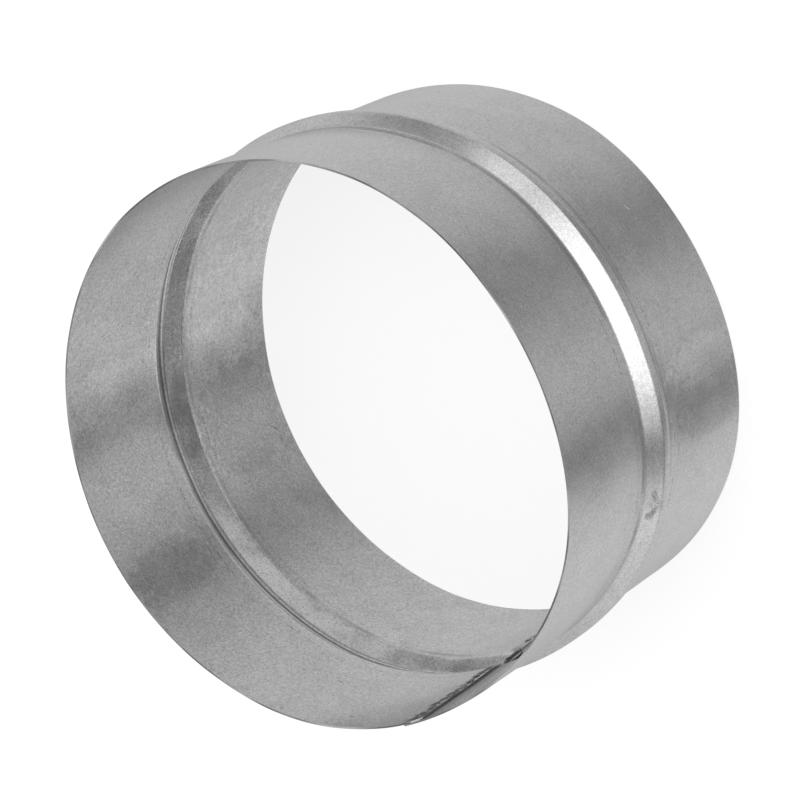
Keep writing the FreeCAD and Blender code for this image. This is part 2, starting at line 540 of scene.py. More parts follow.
def rolled_sheet_tree():
    """The section carried along the path, trimmed, closed at its ends and bent out of round."""
    tree, source, target = new_tree(
        "rolled_sheet", "GeometryNodeTree", SHEET_INPUTS, {"Geometry": "Geometry"}
    )
    section = out(put("GeometryNodeObjectInfo", source["Section"]), "Geometry")
    path = out(put("GeometryNodeObjectInfo", source["Path"]), "Geometry")

    # the grid's own columns and rows, and which columns are the extra ones that close the ends
    last_column = plus(source["Columns"], 1)
    grid = put(
        "GeometryNodeMeshGrid", last_column, source["Rows"],
        plus(source["Columns"], 2), plus(source["Rows"], 1),
    )
    here = out(put("GeometryNodeInputPosition"))
    x, y, _ = axes(here)
    column = minus(calc("ROUND", times_plus(last_column, 0.5, x)), 1)
    kept = larger(smaller(column, minus(source["Columns"], 1)), 0)
    is_end = apart(column, kept)
    row = calc("ROUND", times_plus(source["Rows"], 0.5, y))
    row = calc("MODULO", row, source["Rows"])
    last_row = minus(source["Rows"], 1)

    # the point's place in the section; an end folds onto the mid line and tucks in at the rims
    near = looked_up(section, here, row, "FLOAT_VECTOR")
    far = looked_up(section, here, minus(last_row, row), "FLOAT_VECTOR")
    fold = times(is_end, 0.5)
    spot = out(put("ShaderNodeMix", fold, near, far, data_type="VECTOR"))
    outwards, height, _ = axes(spot)
    tuck = times(is_end, RIM_CHAMFER)
    height = larger(height, tuck)
    height = smaller(height, minus(source["Length"], tuck))

    # its place along the path, drawn back near the free edge
    parameter = put("GeometryNodeSplineParameter")
    along = looked_up(path, out(parameter, "Length"), kept, "FLOAT")
    whole = out(put("GeometryNodeCurveLength", path))
    into_zone = minus(plus(along, source["Trim Zone"]), whole)
    share = larger(over(into_zone, source["Trim Zone"]), 0)
    along = minus(along, times(trimmed_back(source, height), share))

    # its place in the round, sprung and a little wavy
    sample = put("GeometryNodeSampleCurve", path, None, along, mode="LENGTH")
    side = vector("CROSS_PRODUCT", out(sample, "Tangent"), (0, 0, 1))
    place = vector("ADD", out(sample, "Position"), scaled(side, outwards))
    place = vector("ADD", place, xyz(0, 0, height))
    bent = sprung(place, source)
    wave = put("ShaderNodeTexNoise", bent, noise_dimensions="3D")
    feed(wave, [("Scale", over(1, source["Wave Size"])), ("Detail", 1)])
    swing = times(minus(out(wave), 0.5), source["Wave Height"])
    final = vector("ADD", bent, scaled(side, swing))

    is_inner = calc("GREATER_THAN", row, times(last_row, 0.5))
    flat_place = xyz(along, height, is_inner)
    mesh = stored(out(grid, "Mesh"), "strip", flat_place, "FLOAT_VECTOR")
    mesh = stored(mesh, "cut_end", is_end, "FLOAT")
    mesh = out(put("GeometryNodeSetPosition", mesh, None, final))
    mesh = out(put("GeometryNodeMergeByDistance", mesh, None, MERGE_DISTANCE))
    mesh = out(put("GeometryNodeSetShadeSmooth", mesh, None, True, domain="FACE"))
    angle = out(put("GeometryNodeInputMeshEdgeAngle"))
    crease = calc("GREATER_THAN", angle, SHARP_ANGLE)
    mesh = out(put("GeometryNodeSetShadeSmooth", mesh, crease, False, domain="EDGE"))
    mesh = out(put("GeometryNodeRealizeInstances", mesh))
    mesh = out(put("GeometryNodeSetMaterial", mesh, None, source["Material"]))
    tree.links.new(mesh, target["Geometry"])
    return tree


rolled_sheet = rolled_sheet_tree()
print("rolled sheet tree:", len(rolled_sheet.nodes), "nodes")

# %% [markdown]
# From tree to plain mesh
#
# A modifier's inputs are set by their socket identifiers before anything is evaluated. The evaluated
# result is then copied into a plain mesh, so that the finished piece carries no modifier and sits at
# the origin, as the solid model's nodes do.

# %% Run the rolled sheet's tree
def made_by(tree, name, inputs):
    """Run a tree once with its inputs' values, and keep its result as a plain mesh object."""
    maker = bpy.data.objects.new(name + "_maker", bpy.data.meshes.new(name + "_maker"))
    scene.collection.objects.link(maker)
    modifier = maker.modifiers.new(tree.name, "NODES")
    modifier.node_group = tree
    for item in tree.interface.items_tree:
        if item.item_type == "SOCKET" and item.in_out == "INPUT":
            modifier[item.identifier] = inputs[item.name][1]
    bpy.context.view_layer.update()
    depsgraph = bpy.context.evaluated_depsgraph_get()
    mesh = bpy.data.meshes.new_from_object(
        maker.evaluated_get(depsgraph), preserve_all_data_layers=True, depsgraph=depsgraph
    )
    mesh.name = name
    mesh.materials.clear()
    mesh.materials.append(inputs["Material"][1])
    mesh.polygons.foreach_set("material_index", [0] * len(mesh.polygons))
    maker.modifiers.remove(modifier)
    bpy.data.objects.remove(maker)
    piece = bpy.data.objects.new(name, mesh)
    scene.collection.objects.link(piece)
    return piece


sleeve = made_by(rolled_sheet, "sleeve_sheet", SHEET_INPUTS)
print("sleeve:", len(sleeve.data.vertices), "points,", len(sleeve.data.polygons), "faces")

# %% [markdown]
# The stitch welds
#
# The lap is held by a row of small welds. Each one is a shallow crater with a raised lip, about two
# millimetres across. It could be modelled by hand, but its form is simple enough for a rule: a ball is
# flattened, and the height of its top follows from the distance to the middle.

# %% Shape one weld
WELD_PITCH = 3.5 * MM
WELD_SPOT = 2.2 * MM
WELD_LIP = 0.16 * MM
WELD_RIM_MARGIN = 3.6 * MM
WELD_FROM_EDGE = 2.3 * MM
WELDS_EACH_SIDE = 9
WELD_SEED = 7
CRATER_SEGMENTS, CRATER_RINGS = 20, 12
weld_scale = bpy.data.materials.new("weld_scale")

WELD_INPUTS = {
    "Path": ("Object", path_object),
    "Count": ("Int", WELDS_EACH_SIDE),
    "Pitch": ("Float", WELD_PITCH),
    "Margin": ("Float", WELD_RIM_MARGIN),
    "From Edge": ("Float", WELD_FROM_EDGE),
    "Sheet": ("Float", SHEET),
    "Spot": ("Float", WELD_SPOT),
    "Lip": ("Float", WELD_LIP),
    "Seed": ("Int", WELD_SEED),
    "Material": ("Material", weld_scale),
    **SPRUNG_INPUTS,
}


def weld_crater(source):
    """One weld: a flattened ball about the origin, with a dip in its top, which is towards +Z."""
    ball = put("GeometryNodeMeshUVSphere", CRATER_SEGMENTS, CRATER_RINGS, 1)
    x, y, z = axes(out(put("GeometryNodeInputPosition")))
    square = plus(times(x, x), times(y, y))
    lip = times(times(square, minus(1, square)), 3.2)  # none in the middle or outside
    top = times_plus(larger(z, 0), 0.5, lip)
    below = times(smaller(z, 0), 1.2)
    height = times(plus(top, below), source["Lip"])
    radius = times(source["Spot"], 0.5)
    across = [times(value, radius) for value in (x, y)]
    place = xyz(*across, height)
    return out(put("GeometryNodeSetPosition", out(ball, "Mesh"), None, place))


print("weld crater:", CRATER_SEGMENTS * CRATER_RINGS, "faces")

# %% [markdown]
# The row of welds
#
# No two welds are quite alike. A row of like things along a line is work for Geometry Nodes: instances
# of the crater go on points along the seam, each moved, turned and stretched a little by a random
# value. The seed is fixed, so the row comes out the same each time.

# %% Lay the welds along the seam
WELD_SWAY = 0.35 * MM
WELD_SPIN = 6.28  # radians, about a full turn
WELD_STRETCH = (0.75, 0.6, 0.5), (1.25, 0.95, 1.2)  # least and most, along its own axes


def drawn(source, low, high, data_type="FLOAT"):
    """A random value for each weld, from the tree's seed."""
    values = (low, high, None, source["Seed"])
    return out(put("FunctionNodeRandomValue", *values, data_type=data_type))


def stitch_welds_tree():
    """Welds along the seam, in a row up from each rim, on the inner layer's inside face."""
    tree, source, target = new_tree(
        "stitch_welds", "GeometryNodeTree", WELD_INPUTS, {"Geometry": "Geometry"}
    )
    number = out(put("GeometryNodeInputIndex"))
    is_upper = calc("GREATER_THAN", number, minus(source["Count"], 0.5))
    in_row = calc("MODULO", number, source["Count"])
    from_rim = times_plus(in_row, source["Pitch"], source["Margin"])
    other_rim = minus(source["Length"], from_rim)
    height = mixed(is_upper, from_rim, other_rim)

    path = out(put("GeometryNodeObjectInfo", source["Path"]), "Geometry")
    whole = out(put("GeometryNodeCurveLength", path))
    along = minus(whole, source["From Edge"])
    along = plus(along, drawn(source, -WELD_SWAY, WELD_SWAY))
    sample = put("GeometryNodeSampleCurve", path, None, along, mode="LENGTH")
    side = vector("CROSS_PRODUCT", out(sample, "Tangent"), (0, 0, 1))
    inside = scaled(side, times(source["Sheet"], -0.5))
    place = vector("ADD", out(sample, "Position"), inside)
    place = vector("ADD", place, xyz(0, 0, height))

    all_welds = times(source["Count"], 2)
    points = put("GeometryNodePoints", all_welds, sprung(place, source))
    inwards = scaled(side, -1)
    facing = out(put("FunctionNodeAlignRotationToVector", None, None, inwards, axis="Z"))
    spin = drawn(source, 0, WELD_SPIN)
    turn = out(put("FunctionNodeAxisAngleToRotation", (0, 0, 1), spin))
    rotation = put("FunctionNodeRotateRotation", facing, turn, rotation_space="LOCAL")
    uneven = drawn(source, *WELD_STRETCH, data_type="FLOAT_VECTOR")
    welds = put(
        "GeometryNodeInstanceOnPoints", out(points), None, weld_crater(source),
        None, None, out(rotation), uneven,
    )
    mesh = out(put("GeometryNodeRealizeInstances", out(welds)))
    mesh = out(put("GeometryNodeSetShadeSmooth", mesh, None, True, domain="FACE"))
    mesh = out(put("GeometryNodeSetMaterial", mesh, None, source["Material"]))
    tree.links.new(mesh, target["Geometry"])
    return tree


welds = made_by(stitch_welds_tree(), "stitch_welds", WELD_INPUTS)
for guide in guides:
    bpy.data.objects.remove(guide)
print("welds:", len(welds.data.polygons), "faces")

# %% [markdown]
# Zinc grain
#
# Hot-dip zinc freezes in crystals. On this thin sheet they are so fine that they read as a grey grain
# with darker specks, under faint clouds where the bath cooled unevenly. A photograph of the surface
# would tie the finish to one picture, so the grain is made from noise at three sizes. It is a node
# group, because the sheet and the welds both need it, each with its own sizes.

# %% Build the zinc grain group
def noise(place, size, detail=1.0, roughness=0.5):
    """Noise about 0 whose lumps are about that many metres across."""
    node = put("ShaderNodeTexNoise", noise_dimensions="3D")
    scale = over(1, size) if isinstance(size, bpy.types.NodeSocket) else 1 / size
    values = [("Vector", place), ("Scale", scale), ("Detail", detail), ("Roughness", roughness)]
    feed(node, values)
    return minus(node.outputs["Fac"], 0.5)


def zinc_grain_group():
    """A tone about 1, a mask of darker specks and a height, for a place on a zinc surface."""
    tree, source, target = new_tree(
        "zinc_grain",
        "ShaderNodeTree",
        {
            "Place": "Vector",
            "Crystal": ("Float", 0.3 * MM),
            "Speck": ("Float", 0.6 * MM),
            "Cloud": ("Float", 9 * MM),
        },
        {"Tone": "Float", "Specks": "Float", "Clouds": "Float", "Height": "Float"},
    )
    place, crystal = source["Place"], source["Crystal"]
    fine = noise(place, crystal, detail=2, roughness=0.6)
    coarse = noise(place, times(crystal, 3), detail=1)
    clouds = noise(place, source["Cloud"], detail=3, roughness=0.6)
    specks = noise(place, source["Speck"], detail=1)
    tone = 1
    for lumps, gain in ((fine, 1.3), (coarse, 0.4), (clouds, 0.3)):
        tone = times_plus(lumps, gain, tone)
    tree.links.new(tone, target["Tone"])
    tree.links.new(ramped(specks, 0.13, 0.25), target["Specks"])
    tree.links.new(clouds, target["Clouds"])
    tree.links.new(times_plus(coarse, 0.6, fine), target["Height"])
    return tree


zinc_grain = zinc_grain_group()
print("zinc grain group:", len(zinc_grain.nodes), "nodes")

# %% [markdown]
# Marks of handling
#
# A sheet that has been rolled, beaded and welded carries marks: short dark dashes, bright scratches
# and a scuff on the bead. Each is a slim patch at a known place on the strip. One node group draws
# such a patch from its place, length, width and slant, and breaks it up with noise. The sheet keeps
# its own flat position in an attribute, so the marks follow its bends.

# %% Build the mark group
def mark_group():
    """A mask for one slim patch on the strip, on the outside (0) or the inside (1)."""
    tree, source, target = new_tree(
        "mark",
        "ShaderNodeTree",
        {
            "Strip": "Vector",
            "Along": "Float",
            "Height": "Float",
            "Inside": "Float",
            "Length": ("Float", 2 * MM),
            "Width": ("Float", 0.4 * MM),
            "Slant": "Float",
            "Broken": ("Float", 0.4),
            "Piece": ("Float", 0.6 * MM),
        },
        {"Mask": "Float"},
    )
    along, height, inside = axes(source["Strip"])
    sideways = minus(along, source["Along"])
    from_middle = xyz(sideways, minus(height, source["Height"]), 0)
    wobble = noise(source["Strip"], times(source["Piece"], 3), detail=1)
    turned = put("ShaderNodeVectorRotate", from_middle, rotation_type="Z_AXIS")
    feed(turned, [("Angle", times(source["Slant"], -1))])
    lengthwise, crosswise, _ = axes(out(turned))
    half_length = times(source["Length"], 0.5)
    half_width = times(source["Width"], 0.5)
    u = over(lengthwise, half_length)
    v = over(crosswise, half_width)
    v = times_plus(wobble, 1.6, v)
    reach = plus(times(u, u), times(v, v))
    patch = ramped(reach, 1.0, 0.25)
    crumbs = noise(source["Strip"], source["Piece"], detail=2)
    gone_at = times_plus(source["Broken"], 0.5, -0.5)
    patch = times(patch, ramped(crumbs, gone_at, source["Broken"]))
    on_side = calc("LESS_THAN", apart(inside, source["Inside"]), 0.5)
    tree.links.new(times(patch, on_side), target["Mask"])
    return tree


mark = mark_group()


def along_at(degrees):
    """The place along the strip, in metres, of an angle round the axis from +X."""
    leaves_at = SEAM_ANGLE + (LAP_WIDTH / 2 + LAP_LEAD) / MID_RADIUS
    return LAP_END + (math.radians(degrees) - leaves_at) % (2 * math.pi) * MID_RADIUS


STRIP_END = along_at(math.degrees(SEAM_ANGLE)) + LAP_WIDTH / 2
print("strip length, mm:", round(STRIP_END / MM, 1))

# %% [markdown]
# Where the marks are
#
# Each mark is one line of a list: where it lies round the ring and up it, on which face, and its size.
# The dark and the bright marks show in the photograph. One long bright line along the bead's lower
# foot, inside, is a painted highlight. The large soft patches are painted reflections: zinc made a
# little darker or lighter, standing in for reflections of things near the ring, which a backdrop drawn
# by direction alone can't place. The groove of the bead has painted reflections of its own.

# %% List the marks
MARK_PIECE = 0.6 * MM  # size of the pieces that a mark is broken into
GROOVE_PIECE = 8 * MM
DARK_MARKS = [  # angle in degrees, height, inside, length and width in mm, slant in degrees, broken
    (-108.6, 82.8, 1, 2.2, 0.7, 20, 0.1),
    (-119.9, 65.7, 1, 2.0, 0.6, 25, 0.1),
    (-179.7, 6.2, 1, 5.2, 0.8, -55, 0.2),
    (-177.0, 5.2, 1, 4.0, 0.6, 15, 0.3),
    (176.0, 55.2, 1, 52.0, 0.6, 1, 0.5),
    (-33.0, 48.4, 0, 4.0, 2.4, 20, 0.25),
    (-36.6, 48.6, 0, 4.6, 2.8, -30, 0.2),
    (-34.8, 47.4, 0, 7.0, 3.6, 70, 0.5),
    (66.7, 39.8, 0, 19.0, 0.8, -8, 0.35),
    (61.0, 53.3, 0, 34.0, 1.6, 0, 0.15),
]
BRIGHT_SCRATCHES_AND_PAINTED_HIGHLIGHT = [
    (20.7, 17.4, 0, 2.6, 0.5, 30, 0.2),
    (17.9, 17.1, 0, 1.4, 0.4, 40, 0.2),
    # painted highlight: a long bright line along the bead's lower foot, inside
    (177.0, 38.2, 1, 62.0, 0.6, 0, 0.6),
]
# painted reflections: large soft patches of darker zinc
PAINTED_DARK_REFLECTIONS = [
    (118.0, 60.0, 1, 84.0, 170.0, 0, 0.1),
    (177.0, 15.0, 1, 40.0, 60.0, 0, 0.1),
    (-163.0, 72.0, 1, 20.0, 46.0, 0, 0.1),
    (-23.5, 14.0, 0, 14.0, 46.0, 0, 0.1),
]
# painted reflections: large soft patches of lighter zinc
PAINTED_BRIGHT_REFLECTIONS = [
    (157.5, 50.0, 1, 22.0, 170.0, 0, 0.1),
    (-13.0, 14.0, 0, 15.0, 46.0, 0, 0.1),
]
# painted reflections in the groove: darker patches, and one lighter patch below
GROOVE_PAINTED_DARK_REFLECTIONS = [
    (110.0, 41.0, 1, 40.0, 14.0, 0, 0.1),
    (169.0, 42.3, 1, 30.0, 9.0, 0, 0.1),
    (-98.0, 42.5, 1, 22.0, 12.0, 0, 0.1),
]
GROOVE_PAINTED_BRIGHT_REFLECTION = [(-140.0, 42.6, 1, 90.0, 12.0, 0, 0.1)]


def marks(strip, places, piece=MARK_PIECE):
    """The masks of several marks, joined, each broken into pieces of about that size."""
    joined = 0.0
    for degrees, height, inside, length, width, slant, broken in places:
        spot = (along_at(degrees), height * MM, inside)
        shape = (length * MM, width * MM, math.radians(slant), broken, piece)
        node = put("ShaderNodeGroup", strip, *spot, *shape, node_tree=mark)
        joined = larger(out(node), joined)
    return joined


print("dark marks:", len(DARK_MARKS), "and bright ones:", len(BRIGHT_SCRATCHES_AND_PAINTED_HIGHLIGHT))

# %% [markdown]
# Streaks and painted shade
#
# The beading rollers left fine streaks along the strip. Painted shade lies in a soft patchy line beside
# the bead's feet, and a dotted line further out is where the edge of the tool ran. Painting them would
# need a picture. Here each is a rule on the sheet's flat position, in a function that gives one mask,
# so that the finish can read like a list of them.

# %% Write the rules for streaks and painted shade
PAINTED_SHADE_LINE = 1.1 * MM  # distance of the line of painted shade from the bead's foot
TOOL_LINE = 3.4 * MM  # distance of the beading tool's edge line from the bead's foot


def scaled_place(place, scale):
    """A place stretched by its own share along each axis."""
    return vector("MULTIPLY", place, scale)


def roller_streaks(strip, height):
    """Fine streaks along the strip, strongest in the bands that the rollers pressed."""
    slim, wide = [scaled_place(strip, s) for s in ((1 / 28, 1 / 0.32, 9), (1 / 60, 1 / 1.6, 5))]
    fine = noise(slim, MM, detail=2, roughness=0.7)
    broad = noise(wide, MM, detail=1)
    near_bead = ramped(apart(height, BEAD_CENTRE), BAND_START + 7 * MM, BEAD_FOOT)
    strength = times_plus(near_bead, 0.16, 0.04)
    return times(times_plus(broad, 0.7, fine), strength)


def tool_line_and_painted_shade(strip, height, inside):
    """Soft patchy painted shade beside the bead's feet, and a dotted tool line further out."""
    above = minus(height, BEAD_CENTRE)
    beyond_foot = minus(calc("ABSOLUTE", above), BEAD_FOOT)
    patches = noise(scaled_place(strip, (1, 0.5, 0.06)), 16 * MM, detail=2)
    # painted shade: a soft dark line just beyond each of the bead's feet
    painted_foot_shade = ramped(apart(beyond_foot, PAINTED_SHADE_LINE), 1.3 * MM, 0.2 * MM)
    painted_foot_shade = times(painted_foot_shade, ramped(patches, -0.15, 0.15, 0.02, 0.32))
    overhung = times(inside, ramped(above, 0, 1 * MM))
    painted_foot_shade = times(painted_foot_shade, minus(1, overhung))
    dots = ramped(noise(strip, 1.1 * MM, detail=2), 0.0, 0.12, 0.1, 1)
    tool_line = times(ramped(apart(beyond_foot, TOOL_LINE), 0.5 * MM, 0.1 * MM), dots)
    tool_line = times(tool_line, ramped(patches, 0.15, -0.15, 0.05, 0.4))
    return larger(painted_foot_shade, tool_line)


print("painted_foot_shade", round(PAINTED_SHADE_LINE / MM, 1), "mm and tool line", round(TOOL_LINE / MM, 1), "mm out")

# %% [markdown]
# Scorch from the welds, and the lap step's painted shadow
#
# The heat of the welds left scorch along their line and beyond the step of the lap, in ragged tongues
# that widen near the rim, and a burnt spot in the notch at the bead. Right beyond the step, the dark
# band is also the step's shadow, painted in. Its edge is a distance that noise pushes to and fro, which
# gives tongues rather than the even fade of a plain blend.

# %% Write the rule for the scorch
SCORCH_CRUMB = 1.3 * MM
SCORCH_TONGUE = 2.4 * MM
SCORCH_SWAY = 9 * MM
SCORCH_REACH = (2.3 * MM, 4.8 * MM)  # along most of the weld line, and near the rim
BURNT_MIDDLE = BEAD_CENTRE - 1.6 * MM
BURNT_HEIGHT = 5.0 * MM


def near_welds(strip, along, height, inside):
    """Scorch along the weld line, scorch with the step's painted shadow beyond the lap's step, and the
    burnt spot in the notch.
    """
    ragged = noise(strip, SCORCH_CRUMB, detail=2)
    tongues = noise(scaled_place(strip, (0.6, 1, 1)), SCORCH_TONGUE, detail=3)
    from_line = apart(along, STRIP_END - WELD_FROM_EDGE)
    from_line = times_plus(tongues, SCORCH_SWAY, from_line)
    near_rim = (SLEEVE_LENGTH - 16 * MM, SLEEVE_LENGTH - 3 * MM)
    reach = ramped(height, *near_rim, *SCORCH_REACH)
    line = times(ramped(from_line, reach, 0.4 * MM), 0.9)
    # beyond the lap's step: the step's painted shadow, with scorch
    from_step = minus(along, LAP_WIDTH)
    step = times(ramped(from_step, 3.4 * MM, 1.5 * MM), 0.97)
    haze = times(ramped(from_step, 12 * MM, 2 * MM), 0.55)
    past_step = ramped(from_step, -1.5 * MM, 0)
    beyond = times(larger(step, haze), past_step)
    upper_half = ramped(height, BEAD_CENTRE, BEAD_CENTRE + 4 * MM, 0.4, 1)
    scorch = times(larger(line, beyond), upper_half)
    up = over(minus(height, BURNT_MIDDLE), BURNT_HEIGHT)
    in_notch = over(along, 11 * MM)
    from_end = over(minus(STRIP_END, along), 5.2 * MM)
    for away in (in_notch, from_end):
        spot = times_plus(up, up, times(away, away))
        spot = ramped(plus(spot, ragged), 1.1, 0.6)
        scorch = larger(scorch, spot)
    return times(scorch, inside)


print("scorch reaches, mm:", [round(reach / MM, 1) for reach in SCORCH_REACH])

# %% [markdown]
# The groove and the flecks
#
# Seen from inside, the bead is a groove. Its flanks get a painted highlight, and painted shade lies
# in two lines along its bottom, where each flank meets the crest. These follow from the height alone.
# Short dark flecks lie across the whole sheet. Placing each one would take hundreds of marks, so they
# come from slim noise at a slant, of which only the peaks are kept.

# %% Write the rules for the groove and the flecks
FLECK_SLANT = math.radians(35)


def groove_tone(height, inside):
    """How the groove differs in tone inside: a painted highlight on its flanks, with two lines of
    painted shade; and its mask.
    """
    above = minus(height, BEAD_CENTRE)
    from_bead = calc("ABSOLUTE", above)
    flanks = times(ramped(from_bead, BEAD_FOOT, BEAD_FOOT - 0.6 * MM), inside)
    # painted shade: two dark lines along the groove's bottom, where each flank meets the crest
    rising = ramped(above, 0.2 * MM, 0.6 * MM)
    upper_line = times(rising, ramped(above, 1.8 * MM, 1.2 * MM))
    rising = ramped(above, -1.3 * MM, -0.9 * MM)
    lower_line = times(rising, ramped(above, -0.2 * MM, -0.6 * MM))
    painted_groove_lines = times_plus(upper_line, 0.66, times(lower_line, 0.4))
    # painted highlight: the groove's flanks are lightened
    sides = times(flanks, ramped(from_bead, 0.9 * MM, 1.4 * MM))
    painted_flank_sheen = times_plus(sides, 0.45, 1)
    groove_unshaded_share = minus(1, times(painted_groove_lines, inside))
    return times(painted_flank_sheen, groove_unshaded_share), flanks


def flecks(strip, inside):
    """Short dark flecks across the strip, mostly on the inside."""
    turned = put("ShaderNodeVectorRotate", strip, rotation_type="Z_AXIS")
    feed(turned, [("Angle", FLECK_SLANT)])
    slim = noise(scaled_place(out(turned), (1 / 1.5, 1 / 0.5, 40)), MM, detail=2)
    patches = ramped(noise(strip, 14 * MM, detail=2), -0.2, 0.2, 0.35, 1)
    strength = times(times_plus(inside, 0.2, 0.05), patches)
    return times(ramped(slim, 0.06, 0.2), strength)


print("groove from foot to foot, mm:", round(2 * BEAD_FOOT / MM, 1))

# %% [markdown]
# The zinc's tone
#
# The tone starts from the grain, and each mask darkens or brightens it in turn. Multiplying keeps the
# grain visible in the darker parts, where adding would flatten it. Last come the sheared edges, where
# darker steel shows, with a painted highlight along part of the rim, and the strip's cut ends,
# lightened as a painted highlight.

# %% Work out the zinc's tone
INSIDE_GRAIN = 0.35  # the inside shows its grain more
SPECK_DEPTH, PAINTED_DARK_REFLECTION_DEPTH, GROOVE_PAINTED_DARK_DEPTH = 0.16, 0.22, 0.42
PAINTED_BRIGHT_REFLECTION_GAIN, GROOVE_PAINTED_BRIGHT_GAIN = 0.3, 0.3
PAINTED_CUT_END_HIGHLIGHT = 1.2
RIM_STEEL_AND_PAINTED_GLINT_SIZE = 24 * MM


def zinc_tone(grain, streaks, strip, height, inside):
    """The zinc's tone about 1 before the dark marks and painted shade, and the mask of the groove's
    painted bright reflection.
    """
    grained = minus(out(grain, "Tone"), 1)
    coarser = times_plus(inside, INSIDE_GRAIN, 1)
    tone = plus(times_plus(grained, coarser, 1), streaks)
    tone = times(tone, times_plus(out(grain, "Specks"), -SPECK_DEPTH, 1))
    tone = times(tone, minus(1, flecks(strip, inside)))
    groove, in_groove = groove_tone(height, inside)
    tone = times(tone, groove)
    # painted reflections in the groove, darker and lighter
    uneven = times(marks(strip, GROOVE_PAINTED_DARK_REFLECTIONS, GROOVE_PIECE), -GROOVE_PAINTED_DARK_DEPTH)
    painted_bright_groove_patch = marks(strip, GROOVE_PAINTED_BRIGHT_REFLECTION, GROOVE_PIECE)
    uneven = times_plus(painted_bright_groove_patch, GROOVE_PAINTED_BRIGHT_GAIN, uneven)
    tone = times(tone, times_plus(uneven, in_groove, 1))
    # painted reflections: large soft darker and lighter patches, outside the groove
    patches = times(marks(strip, PAINTED_DARK_REFLECTIONS), -PAINTED_DARK_REFLECTION_DEPTH)
    patches = times_plus(marks(strip, PAINTED_BRIGHT_REFLECTIONS), PAINTED_BRIGHT_REFLECTION_GAIN, patches)
    patches = times(patches, minus(1, in_groove))
    tone = times(tone, plus(patches, 1))
    return tone, times(painted_bright_groove_patch, in_groove)


def with_cut_edges(tone, strip, height):
    """The tone with the sheared rims, darker bare steel with a painted highlight along part of them,
    and the strip's cut ends, lightened as a painted highlight.
    """
    from_rim = smaller(height, minus(SLEEVE_LENGTH, height))
    cut = ramped(from_rim, RIM_CHAMFER * 1.2, RIM_CHAMFER * 0.4)
    # rims: darker bare steel, with a painted highlight along part of them
    steel_and_painted_glint = noise(scaled_place(strip, (1, 0, 0)), RIM_STEEL_AND_PAINTED_GLINT_SIZE, detail=2)
    tone = mixed(cut, tone, ramped(steel_and_painted_glint, -0.12, 0.2, 0.35, 1.3))
    # painted highlight: the strip's cut ends are lightened
    cut_end = out(put("ShaderNodeAttribute", attribute_name="cut_end"), "Fac")
    return mixed(ramped(cut_end, 0.02, 0.2), tone, PAINTED_CUT_END_HIGHLIGHT)


print("tone of a cut end:", PAINTED_CUT_END_HIGHLIGHT)

# %% [markdown]
# The galvanised sheet's finish
#
# The finish is bare metal, so the shader is metallic and its base colour is the zinc's grey. Only the
# scorch is not, because burnt oxide mirrors nothing, and metal seen at a slant would stay bright.
# Roughness follows the clouds, the streaks, the dark marks, the scorch, the painted shade and the
# groove's painted bright reflection, and a little bump lets the grain sparkle in highlights. Two
# helpers do what this finish shares with that of the welds.

# %% Finish the galvanised sheet
ZINC = 0.47
INSIDE_PAINTED_LIGHT = 0.02  # painted light: the inside is lightened against the shade within the ring
ROUGHNESS = 0.25
OXIDE_SHINE = 0.2  # specular level of what isn't metal: scorch and weld scale
MARK_DEPTH, SCORCH_DEPTH, BRIGHT_GAIN = 0.5, 0.92, 1.1


def metal_tree(material):
    """Work on a material's tree; its shader, and the place on the object."""
    material.use_nodes = True
    shader = work_on(material.node_tree).nodes["Principled BSDF"]
    feed(shader, [("Specular IOR Level", OXIDE_SHINE)])
    return shader, out(put("ShaderNodeTexCoord"), "Object")


def dress(shader, grey, metallic, rough, relief, strength, depth):
    """Feed a metal's shader: its grey, how metallic and rough it is, and a fine bump."""
    bump = put("ShaderNodeBump")
    feed(bump, [("Strength", strength), ("Distance", depth), ("Height", relief)])
    colour = out(put("ShaderNodeCombineColor", grey, grey, grey))
    feed(shader, [("Base Color", colour), ("Metallic", metallic)])
    feed(shader, [("Roughness", rough), ("Normal", out(bump))])


def finish_galvanised(material):
    """Grain, streaks, marks, painted reflections and shade, scorch and cut edges over bare zinc."""
    shader, place = metal_tree(material)
    strip = out(put("ShaderNodeAttribute", attribute_name="strip"), "Vector")
    along, height, inside = axes(strip)
    grain = put("ShaderNodeGroup", place, node_tree=zinc_grain)
    streaks = roller_streaks(strip, height)
    tone, painted_bright_groove_patch = zinc_tone(grain, streaks, strip, height, inside)
    # the dark mask joins the marks, the scorch with the step's painted shadow, and the painted shade by
    # the feet
    dark = times(marks(strip, DARK_MARKS), MARK_DEPTH)
    scorch = times(near_welds(strip, along, height, inside), SCORCH_DEPTH)
    dark = larger(dark, scorch)
    dark = larger(dark, tool_line_and_painted_shade(strip, height, inside))
    tone = times(tone, minus(1, dark))
    # bright scratches, and the painted highlight along the bead's lower foot
    tone = times_plus(marks(strip, BRIGHT_SCRATCHES_AND_PAINTED_HIGHLIGHT), BRIGHT_GAIN, tone)
    tone = with_cut_edges(tone, strip, height)

    # the inside's grey is raised a little: painted light
    grey = times(tone, times_plus(inside, INSIDE_PAINTED_LIGHT, ZINC))
    metallic = times_plus(scorch, -1, 1)
    rough = times_plus(out(grain, "Clouds"), 0.12, ROUGHNESS)
    for mask, gain in ((streaks, 0.25), (dark, 0.3), (painted_bright_groove_patch, 0.3)):
        rough = times_plus(mask, gain, rough)
    relief = times_plus(streaks, 0.6, out(grain, "Height"))
    dress(shader, grey, metallic, rough, relief, strength=0.35, depth=0.02 * MM)


finish_galvanised(galvanised)
print("galvanised sheet:", len(galvanised.node_tree.nodes), "nodes")

# %% [markdown]
# Weld scale
#
# The weld craters are burnt steel: darker, rougher and more mottled than zinc, with bright flecks
# where the lip was brushed clean. They use the same grain group with smaller lumps, and their own
# noise picks out the flecks, which are the only part of the scale that is fully metallic.

